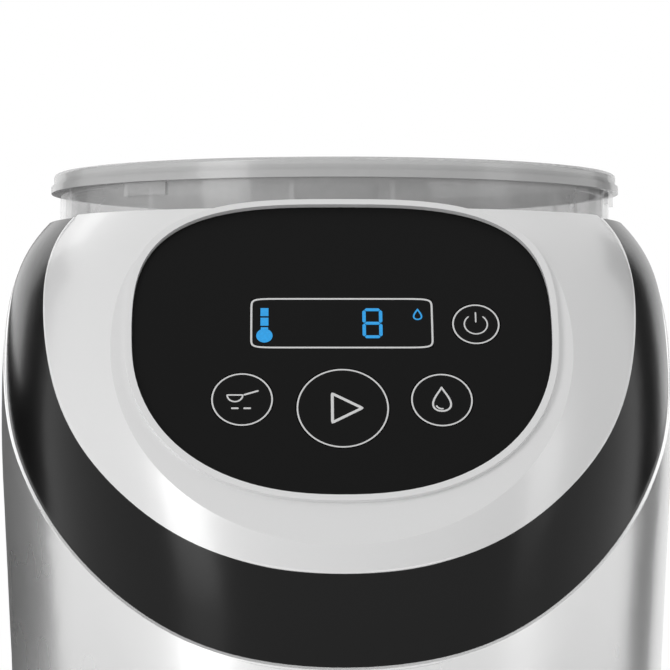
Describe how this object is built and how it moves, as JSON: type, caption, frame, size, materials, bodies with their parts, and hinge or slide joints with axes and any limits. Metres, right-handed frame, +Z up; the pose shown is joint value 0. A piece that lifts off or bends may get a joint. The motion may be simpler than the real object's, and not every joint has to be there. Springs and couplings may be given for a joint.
{
  "type": "baby formula maker",
  "caption": "Oval countertop machine that mixes infant formula: clear powder drum on top, tilted control panel, funnel drawer and bottle bay in front, water tank behind.",
  "frame": {"origin": "on the table, under the middle of the machine's overall box", "axes": "+Z up; front, with the panel and the bottle bay, towards -Y; +X to the right when seen from the front"},
  "size_m": [0.23, 0.33, 0.375],
  "materials": {
    "silver": "satin silver paint",
    "black_gloss": "gloss",
    "black": "moulded, fine grain",
    "panel": "smooth semi-gloss",
    "dark_grey": "moulded",
    "white": "moulded",
    "clear": "clear moulded plastic",
    "tank": "clear, slightly blue moulded plastic",
    "window": "tinted clear",
    "lid": "translucent grey",
    "rubber": "matte",
    "seal": "pale silicone",
    "hose": "clear silicone",
    "steel": "bright",
    "motor_steel": "zinc plated",
    "aluminium": "cast",
    "brass": "machined",
    "board": "circuit board"
  },
  "bodies": {
    "body": {"outer_shell": "silver", "band_ring": "black_gloss", "front_bezel": "silver", "base_pan": "black", "base_screws": "steel", "rubber_feet": "rubber", "rear_wall": "black", "tank_dock": "black", "power_inlet": "black", "control_panel": "panel", "display_window": "window", "display_module": "black", "key_board": "board", "switch_domes": "black", "bay_liner": "black", "bottle_sensor": "window", "powder_chute": "white", "water_nozzle": "steel", "powder_seat": "dark_grey", "drive_bush": "brass", "shaft_seal": "rubber", "gear_case": "black", "case_screws": "steel", "gear_motor": "motor_steel", "water_pump": "white", "water_heater": "aluminium", "tank_hose": "hose", "pump_hose": "hose", "heater_hose": "hose", "main_board": "board", "board_parts": "black"},
    "drive": {"drive_gear": "white", "drive_shaft": "steel", "drive_coupling": "white"},
    "pinion": {"motor_pinion": "brass", "motor_shaft": "steel"},
    "container": {"powder_container": "clear"},
    "seal": {"lid_seal": "seal"},
    "lid": {"container_lid": "lid"},
    "stirrer": {"stirring_wheel": "dark_grey"},
    "drawer": {"funnel_cover": "silver", "funnel_carrier": "black", "funnel": "dark_grey"},
    "tray": {"drip_tray": "black", "drip_grille": "black"},
    "stand": {"bottle_stand": "black"},
    "tank": {"water_tank": "tank", "hinge_pin": "steel", "valve_body": "white", "valve_ring": "rubber", "valve_spring": "steel", "float_guide": "white"},
    "flap": {"tank_flap": "black"},
    "poppet": {"valve_poppet": "white"},
    "float": {"level_float": "white"},
    "power": {"power_key": "panel"},
    "powder": {"powder_key": "panel"},
    "start": {"start_key": "panel"},
    "volume": {"volume_key": "panel"}
  },
  "joints": [
    {"name": "container_lift", "type": "slide", "parent": "body", "child": "container", "axis": [0, 0, 1], "range_m": [0, 0.08]},
    {"name": "lid_lift", "type": "slide", "parent": "container", "child": "seal", "axis": [0, 0, 1], "range_m": [0, 0.06]},
    {"name": "lid_turn", "type": "hinge", "parent": "seal", "child": "lid", "pos_m": [0, 0.005, 0.372], "axis": [0, 0, 1], "range_deg": [0, 30]},
    {"name": "drive_spin", "type": "hinge", "parent": "body", "child": "drive", "pos_m": [0, 0.005, 0.29], "axis": [0, 0, 1], "continuous": true},
    {"name": "pinion_spin", "type": "hinge", "parent": "body", "child": "pinion", "pos_m": [0, 0.0425, 0.29], "axis": [0, 0, 1], "continuous": true},
    {"name": "stir_spin", "type": "hinge", "parent": "container", "child": "stirrer", "pos_m": [0, 0.005, 0.31], "axis": [0, 0, 1], "continuous": true},
    {"name": "drawer_slide", "type": "slide", "parent": "body", "child": "drawer", "axis": [0, -1, 0], "range_m": [0, 0.11]},
    {"name": "tray_slide", "type": "slide", "parent": "body", "child": "tray", "axis": [0, -1, 0], "range_m": [0, 0.11]},
    {"name": "stand_height", "type": "slide", "parent": "body", "child": "stand", "axis": [0, 0, 1], "range_m": [0, 0.06]},
    {"name": "tank_lift", "type": "slide", "parent": "body", "child": "tank", "axis": [0, 0, 1], "range_m": [0, 0.1]},
    {"name": "flap_hinge", "type": "hinge", "parent": "tank", "child": "flap", "pos_m": [0, 0.146, 0.3535], "axis": [-1, 0, 0], "range_deg": [0, 105]},
    {"name": "valve_lift", "type": "slide", "parent": "tank", "child": "poppet", "axis": [0, 0, 1], "range_m": [0, 0.003], "stiffness_N_per_m": 150, "springref_m": -0.002, "deforming": ["valve_spring"]},
    {"name": "float_rise", "type": "slide", "parent": "tank", "child": "float", "axis": [0, 0, 1], "range_m": [0, 0.018]},
    {"name": "power_press", "type": "slide", "parent": "body", "child": "power", "axis": [0, 0.848, -0.5299], "range_m": [0, 0.0006], "stiffness_N_per_m": 400},
    {"name": "powder_press", "type": "slide", "parent": "body", "child": "powder", "axis": [0, 0.848, -0.5299], "range_m": [0, 0.0006], "stiffness_N_per_m": 400},
    {"name": "start_press", "type": "slide", "parent": "body", "child": "start", "axis": [0, 0.848, -0.5299], "range_m": [0, 0.0006], "stiffness_N_per_m": 400},
    {"name": "volume_press", "type": "slide", "parent": "body", "child": "volume", "axis": [0, 0.848, -0.5299], "range_m": [0, 0.0006], "stiffness_N_per_m": 400}
  ],
  "couplings": [
    {"joint": "pinion_spin", "follows": "drive_spin", "ratio": -4},
    {"joint": "stir_spin", "follows": "drive_spin", "ratio": 1}
  ]
}
